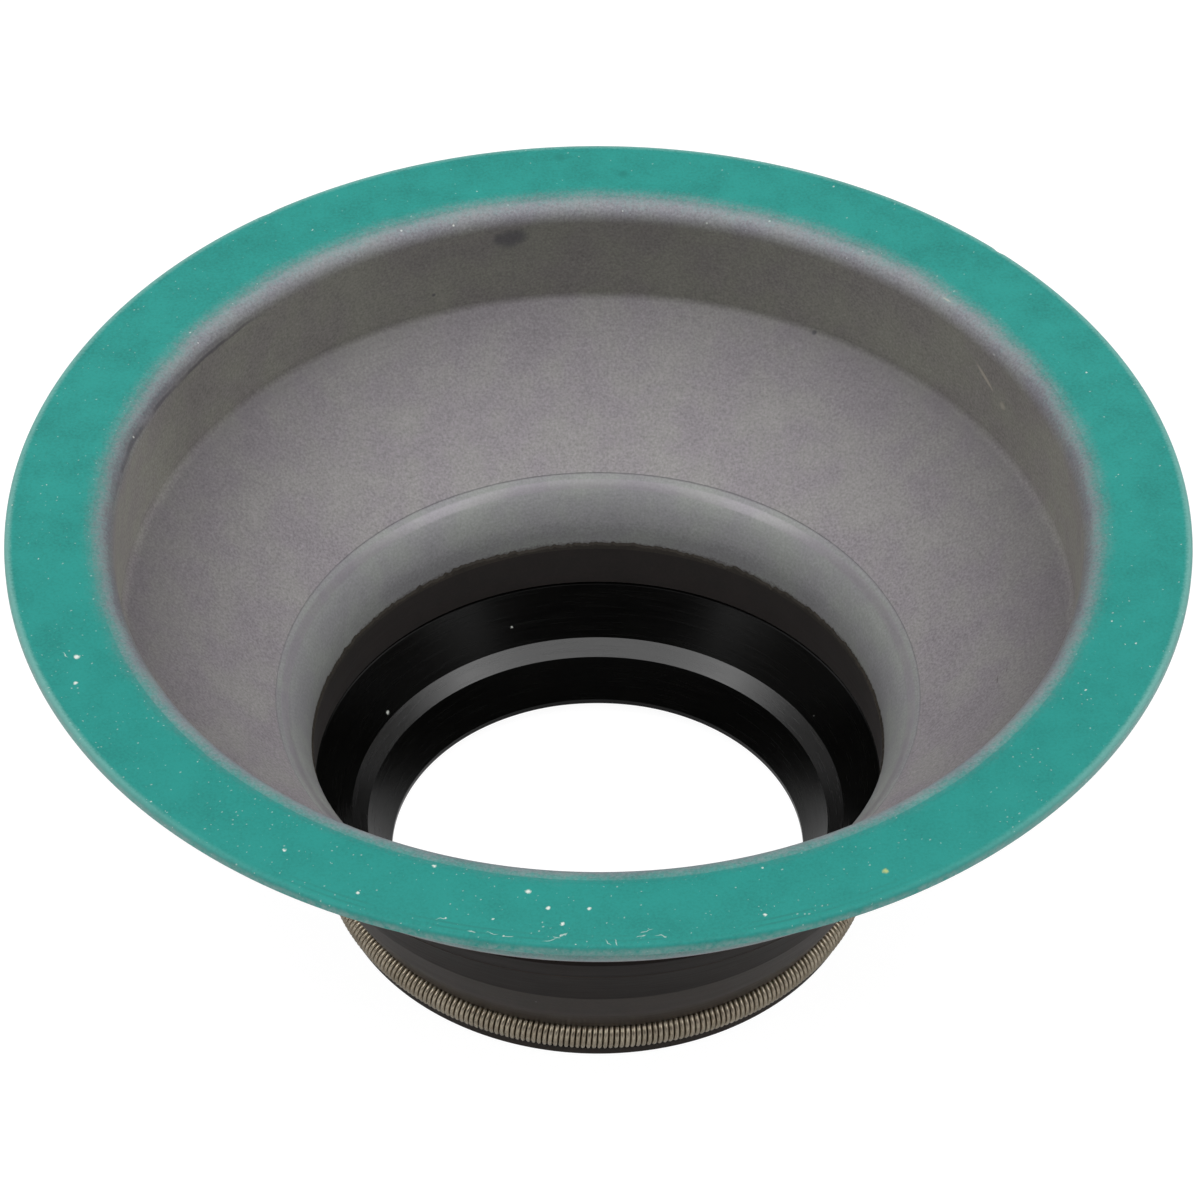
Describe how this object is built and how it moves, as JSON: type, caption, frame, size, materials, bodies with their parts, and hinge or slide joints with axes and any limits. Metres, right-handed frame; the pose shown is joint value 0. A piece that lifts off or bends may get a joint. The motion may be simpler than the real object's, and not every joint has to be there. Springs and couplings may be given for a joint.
{
  "type": "oil seal",
  "caption": "Flanged, funnel-shaped shaft seal: a pressed steel case with a green sealant coat, a bonded rubber lip and a garter spring that holds the lip on the shaft.",
  "frame": {"origin": "centre of the lip's toe, on the plane that the seal stands on", "axes": "+Z along the seal's axis, from the toe of the lip towards the flange"},
  "size_m": [0.087, 0.087, 0.0363],
  "materials": {
    "case_steel": "phosphated, satin",
    "green_sealant": "matt sprayed sealant",
    "lip_rubber": "satin black, moulded",
    "spring_steel": "bright drawn wire"
  },
  "bodies": {
    "root": {"steel_case": "case_steel", "sealant_coat": "green_sealant", "sealing_lip": "lip_rubber", "garter_spring": "spring_steel"}
  },
  "joints": []
}
